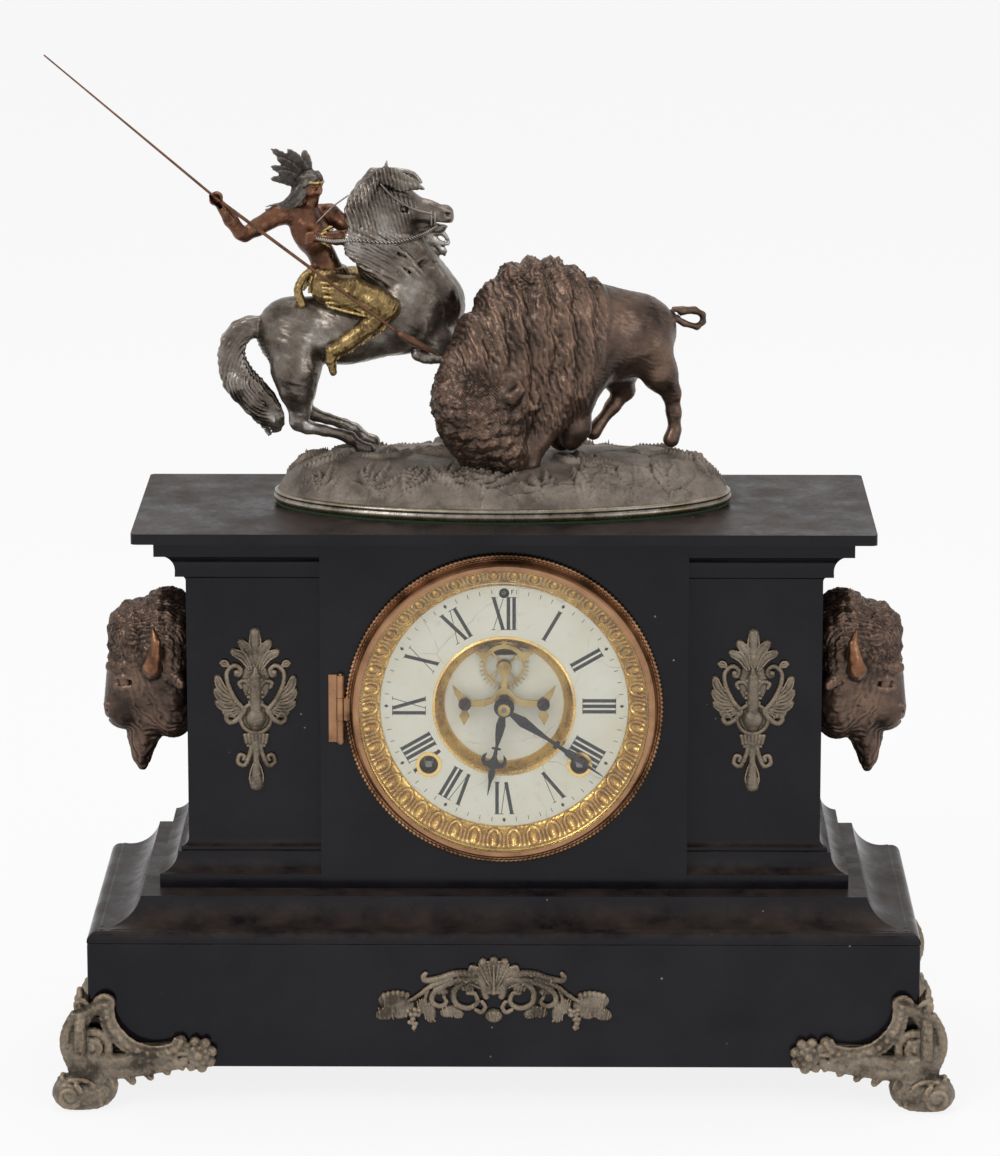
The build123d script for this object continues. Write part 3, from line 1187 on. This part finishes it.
# Plates and pillars
through_bores = [(place, pivot_radius + run_gap) for place in
                 (second_place, third_place, fourth_place, escape_place, strike_second_place, strike_third_place,
                  fly_place, anchor_place)]
through_bores += [(place, great_arbor_radius + run_gap) for place in great_places]
through_bores += [(regulator_place, arbor_radius + run_gap)]
pan_back = dial_y + dial_sheet + pan_sheet
for back, name, extra in ((inner_front, "movement_front_plate", (((0, 0), arbor_radius), (hammer_place, pivot_radius))),
                          (plate_rear, "movement_back_plate", (((0, 0), pivot_radius), (hammer_place, arbor_radius)))):
    with BuildPart() as plate:
        with BuildSketch(upright(back)):
            with BuildLine():
                Polyline((-plate_low_half, plate_low), (plate_low_half, plate_low), (plate_high_half, plate_high),
                         (-plate_high_half, plate_high), close=True)
            make_face()
        extrude(amount=plate_thickness)
        for place, radius in through_bores:
            bore(place, radius, back, plate_thickness)
        for place, radius in extra:
            bore(place, radius + run_gap, back, plate_thickness)
        if back == inner_front:
            for place in pillar_places:
                disc(place, pillar_radius, inner_back, inner_back - pan_back)
            disc(minute_place, pivot_radius, plate_face, stud_length)
            disc(minute_place, 2 * pivot_radius, plate_face, end_gap)
    save(plate, name)

# Going train
third_phase = mesh_phase(fourth_place, fourth_pinion_teeth, 0, third_place, third_teeth)
second_phase = mesh_phase(third_place, third_pinion_teeth, 0, second_place, second_teeth)
with BuildPart() as fourth_wheel:
    arbor(fourth_place)
    pinion(fourth_place, fourth_pinion_teeth, third_module, 0, time_third_level, wheel_thickness)
    wheel(fourth_place, fourth_teeth, fourth_module, 0, fourth_level, wheel_thickness)
save(fourth_wheel, "fourth_wheel")
with BuildPart() as third_wheel:
    arbor(third_place)
    pinion(third_place, third_pinion_teeth, second_module, 0, time_second_level, wheel_thickness)
    wheel(third_place, third_teeth, third_module, third_phase, time_third_level, wheel_thickness)
save(third_wheel, "third_wheel")
with BuildPart() as second_wheel:
    arbor(second_place)
    pinion(second_place, second_pinion_teeth, great_module, 0, great_level, great_thickness)
    wheel(second_place, second_teeth, second_module, second_phase, time_second_level, wheel_thickness)
save(second_wheel, "second_wheel")
minute_face = dial_y - minute_hand_proud
with BuildPart() as centre_arbor:
    arbor((0, 0), arbor_radius, minute_face - hand_sheet - collet_length - end_gap, None)
    pinion((0, 0), centre_teeth, second_module,
           mesh_phase(second_place, second_teeth, second_phase, (0, 0), centre_teeth), time_second_level,
           wheel_thickness)
save(centre_arbor, "centre_arbor")


def great_wheel(place, pinion_place):
    """Add a great wheel with its click."""
    back = inner_front + great_level + great_thickness
    toothed(place, great_teeth, great_module,
            mesh_phase(pinion_place, second_pinion_teeth, 0, place, great_teeth), back, great_thickness)
    click_at = (place[0], place[1] + ratchet_radius + click_gap + click_radius)
    disc(click_at, click_radius, back + ratchet_thickness + end_gap, ratchet_thickness + end_gap)
    bore(place, great_arbor_radius + run_gap, back, great_thickness)


def winding_arbor(place):
    """Add a winding arbor with its ratchet and square end."""
    disc(place, great_arbor_radius, plate_rear, plate_rear - recess_y)
    with BuildSketch(upright(recess_y)) as face:
        with Locations(place):
            Rectangle(square_size, square_size)
    extrude(face.sketch, amount=recess_depth - square_setback)
    ratchet_back = inner_front + great_level + great_thickness + end_gap + ratchet_thickness
    with BuildSketch(upright(ratchet_back)) as face:
        with Locations(place):
            Circle(ratchet_radius - ratchet_tooth)
            with PolarLocations(0, ratchet_teeth):
                Polygon((ratchet_radius - 2 * ratchet_tooth, -ratchet_tooth), (ratchet_radius, 0),
                        (ratchet_radius - 2 * ratchet_tooth, ratchet_tooth), align=None)
    extrude(face.sketch, amount=ratchet_thickness)


def mainspring(place, front_level):
    """Add the packed coil of a mainspring round a winding arbor."""
    back = inner_back - spring_back_gap
    ring(place, spring_radius, great_arbor_radius + spring_bore_gap, back, back - inner_front - front_level)


with BuildPart() as time_great_wheel:
    great_wheel(great_place, second_place)
save(time_great_wheel, "time_great_wheel")
with BuildPart() as strike_great_wheel:
    great_wheel(strike_great_place, strike_second_place)
save(strike_great_wheel, "strike_great_wheel")
with BuildPart() as time_winding_arbor:
    winding_arbor(great_place)
save(time_winding_arbor, "time_winding_arbor")
with BuildPart() as strike_winding_arbor:
    winding_arbor(strike_great_place)
save(strike_winding_arbor, "strike_winding_arbor")
with BuildPart() as mainsprings:
    mainspring(great_place, spring_front_level)
    mainspring(strike_great_place, strike_spring_front_level)
save(mainsprings, "mainsprings")

# Strike train
strike_third_level = fourth_level
with BuildPart() as strike_third_wheel:
    arbor(strike_third_place)
    pinion(strike_third_place, third_pinion_teeth, second_module, 0, strike_second_level, wheel_thickness)
    wheel(strike_third_place, third_teeth, third_module, 0, strike_third_level, wheel_thickness)
save(strike_third_wheel, "strike_third_wheel")
with BuildPart() as strike_pin_wheel:
    arbor(strike_second_place)
    pinion(strike_second_place, second_pinion_teeth, great_module, 0, great_level, great_thickness)
    wheel(strike_second_place, second_teeth, second_module,
          mesh_phase(strike_third_place, third_pinion_teeth, 0, strike_second_place, second_teeth),
          strike_second_level, wheel_thickness)
save(strike_pin_wheel, "strike_pin_wheel")
with BuildPart() as strike_fly:
    arbor(fly_place)
    pinion(fly_place, fourth_pinion_teeth, third_module,
           mesh_phase(strike_third_place, third_teeth, 0, fly_place, fourth_pinion_teeth), strike_third_level,
           wheel_thickness)
    with BuildSketch(upright(inner_front + fly_blade_level + fly_blade_length)):
        with Locations(fly_place):
            Rectangle(2 * fly_blade_reach, fly_blade_sheet)
    extrude(amount=fly_blade_length)
save(strike_fly, "strike_fly")

# Motion work between the front plate and the dial
motion_back = plate_face - end_gap
cannon_radius = arbor_radius + run_gap + cannon_wall
pipe_radius = cannon_radius + run_gap + cannon_wall
minute_wheel_back = motion_back - pinion_over
hour_wheel_back = minute_wheel_back - wheel_thickness - 2 * pinion_over
with BuildPart() as cannon_pinion:
    disc((0, 0), cannon_radius, motion_back, motion_back - minute_face + hand_sheet)
    toothed((0, 0), cannon_teeth, motion_module, 0, motion_back, wheel_thickness + 2 * pinion_over)
    bore((0, 0), arbor_radius + run_gap, motion_back, motion_back - minute_face + hand_sheet)
save(cannon_pinion, "cannon_pinion")
with BuildPart() as minute_wheel:
    toothed(minute_place, minute_teeth, motion_module,
            mesh_phase((0, 0), cannon_teeth, 0, minute_place, minute_teeth), minute_wheel_back, wheel_thickness)
    toothed(minute_place, minute_pinion_teeth, hour_module, 0, minute_wheel_back - wheel_thickness,
            wheel_thickness + 3 * pinion_over)
    bore(minute_place, pivot_radius + run_gap, minute_wheel_back, 4 * wheel_thickness + 3 * pinion_over)
save(minute_wheel, "minute_wheel")
hour_face = dial_y - hour_hand_proud
with BuildPart() as hour_wheel:
    toothed((0, 0), hour_teeth, hour_module,
            mesh_phase(minute_place, minute_pinion_teeth, 0, (0, 0), hour_teeth), hour_wheel_back, wheel_thickness)
    disc((0, 0), pipe_radius, hour_wheel_back, hour_wheel_back - hour_face + hand_sheet)
    bore((0, 0), cannon_radius + run_gap, hour_wheel_back, hour_wheel_back - hour_face + hand_sheet)
save(hour_wheel, "hour_wheel")


def hand(length, shares, angle, face, hole, boss):
    """Add a flat hand that points at a clock angle, with a boss around its hole."""
    right = [(length * half, length * along) for along, half in shares]
    left = [(-across, along) for across, along in reversed(right)]
    with BuildSketch(upright(face)) as outline:
        Polygon(*right, *left, align=None, rotation=-angle)
        Circle(boss)
        Circle(hole, mode=Mode.SUBTRACT)
    extrude(outline.sketch, amount=hand_sheet)


with BuildPart() as hour_hand:
    hand(hour_hand_length, hour_hand_shares, hour_hand_angle, hour_face, pipe_radius, hand_boss_radius)
save(hour_hand, "hour_hand")
with BuildPart() as minute_hand:
    hand(minute_hand_length, minute_hand_shares, minute_hand_angle, minute_face, cannon_radius, minute_boss_radius)
save(minute_hand, "minute_hand")
with BuildPart() as hand_collet:
    ring((0, 0), collet_radius, arbor_radius + run_gap, minute_face - hand_sheet, collet_length)
save(hand_collet, "hand_collet")

# Regulator arbor
with BuildPart() as regulator_arbor:
    disc(regulator_place, arbor_radius, plate_rear, plate_rear - dial_y - dial_sheet - pan_sheet)
    with BuildSketch(upright(dial_y + dial_sheet + pan_sheet)):
        with Locations(regulator_place):
            Rectangle(regulator_square, regulator_square)
    extrude(amount=pan_sheet)
save(regulator_arbor, "regulator_arbor")

# Pendulum on its cock
swing_height = dial_height + anchor_place[1]
with BuildPart() as pendulum_cock:
    with BuildSketch(upright(plate_rear + cock_block_depth)):
        with Locations((0, anchor_place[1] + cock_block_low + cock_block_height / 2)):
            Rectangle(cock_block_width, cock_block_height)
        with Locations((0, anchor_place[1] + cock_block_low + slot_depth / 2)):
            Rectangle(2 * slot_half, slot_depth, mode=Mode.SUBTRACT)
    extrude(amount=cock_block_depth)
save(pendulum_cock, "pendulum_cock")
with BuildPart() as suspension_strip:
    with Locations((0, pendulum_y, swing_height - strip_below)):
        Box(strip_sheet, strip_width, strip_above + strip_below - end_gap, align=(Align.CENTER, Align.CENTER, Align.MIN))
save(suspension_strip, "suspension_strip")
rod_low = swing_height - pendulum_length - bob_radius
with BuildPart() as pendulum_rod:
    with Locations((0, pendulum_y, rod_low - 2 * rating_nut_length)):
        Cylinder(rod_radius, swing_height - strip_below - rod_low + 2 * rating_nut_length,
                 align=(Align.CENTER, Align.CENTER, Align.MIN))
    with Locations((0, pendulum_y, swing_height - strip_below - rod_hook_radius)):
        Cylinder(rod_hook_radius, rod_hook_radius, align=(Align.CENTER, Align.CENTER, Align.MIN))
    with Locations((0, pendulum_y, rod_low - rating_nut_length)):
        Cylinder(rating_nut_radius, rating_nut_length, align=(Align.CENTER, Align.CENTER, Align.MIN))
save(pendulum_rod, "pendulum_rod")
with BuildPart() as pendulum_bob:
    with BuildSketch(upright(pendulum_y + bob_thickness / 2)):
        with Locations((0, anchor_place[1] - pendulum_length)):
            Circle(bob_radius)
    extrude(amount=bob_thickness)
    chamfer(pendulum_bob.edges().filter_by(GeomType.CIRCLE), bob_thickness / 4)
    with Locations((0, pendulum_y, rod_low)):
        Cylinder(rod_radius + run_gap, 2 * bob_radius, align=(Align.CENTER, Align.CENTER, Align.MIN),
                 mode=Mode.SUBTRACT)
save(pendulum_bob, "pendulum_bob")

# Coil gong on its stand, and the hammer
gong_height = dial_height + gong_place[1]
with BuildPart() as gong_coil:
    with BuildLine(upright(gong_y, gong_height)) as coil:
        for half_turn in range(gong_half_turns):
            CenterArc((gong_pitch / 2 * (half_turn % 2), 0), gong_inner_radius + gong_pitch / 2 * half_turn,
                      180 * (half_turn % 2), 180)
    with BuildSketch(Plane(origin=coil.line @ 0, z_dir=coil.line % 0)):
        Circle(gong_wire_radius)
    sweep(path=coil.line)
save(gong_coil, "gong_coil")
post_front = gong_y + gong_wire_radius + gong_post_gap
with BuildPart() as gong_stand:
    with Locations((gong_inner_radius, post_front, case_low)):
        Box(gong_post_width, gong_post_thickness, gong_height - case_low,
            align=(Align.CENTER, Align.MIN, Align.MIN))
    with Locations((gong_inner_radius, gong_y - gong_wire_radius, gong_height)):
        Box(gong_block, post_front - gong_y + gong_wire_radius + gong_post_thickness, gong_block / 2,
            align=(Align.CENTER, Align.MIN, Align.MAX))
save(gong_stand, "gong_stand")
head_place = (-gong_inner_radius - gong_pitch / 2 * (gong_half_turns - 2) - gong_wire_radius - hammer_rest_gap
              - hammer_head_radius, gong_place[1])
hammer_run = apart(hammer_place, head_place)
hammer_turn = degrees(bearing(hammer_place, head_place))
rod_back = gong_y - hammer_head_length / 2
with BuildPart() as hammer:
    arbor(hammer_place, arbor_radius, None, rod_back)
    with BuildSketch(upright(rod_back)):
        with Locations(Location(beside(hammer_place, hammer_run / 2, hammer_turn), hammer_turn)):
            Rectangle(hammer_run, hammer_rod_width)
    extrude(amount=hammer_rod_sheet)
    disc(head_place, hammer_head_radius, rod_back + hammer_head_length, hammer_head_length + hammer_rod_sheet)
    with BuildSketch(upright(inner_front + strike_second_level + wheel_thickness)):
        with Locations(Location(beside(hammer_place, hammer_tail_length / 2, hammer_tail_turn), hammer_tail_turn)):
            Rectangle(hammer_tail_length, hammer_tail_width)
    extrude(amount=wheel_thickness)
save(hammer, "hammer")
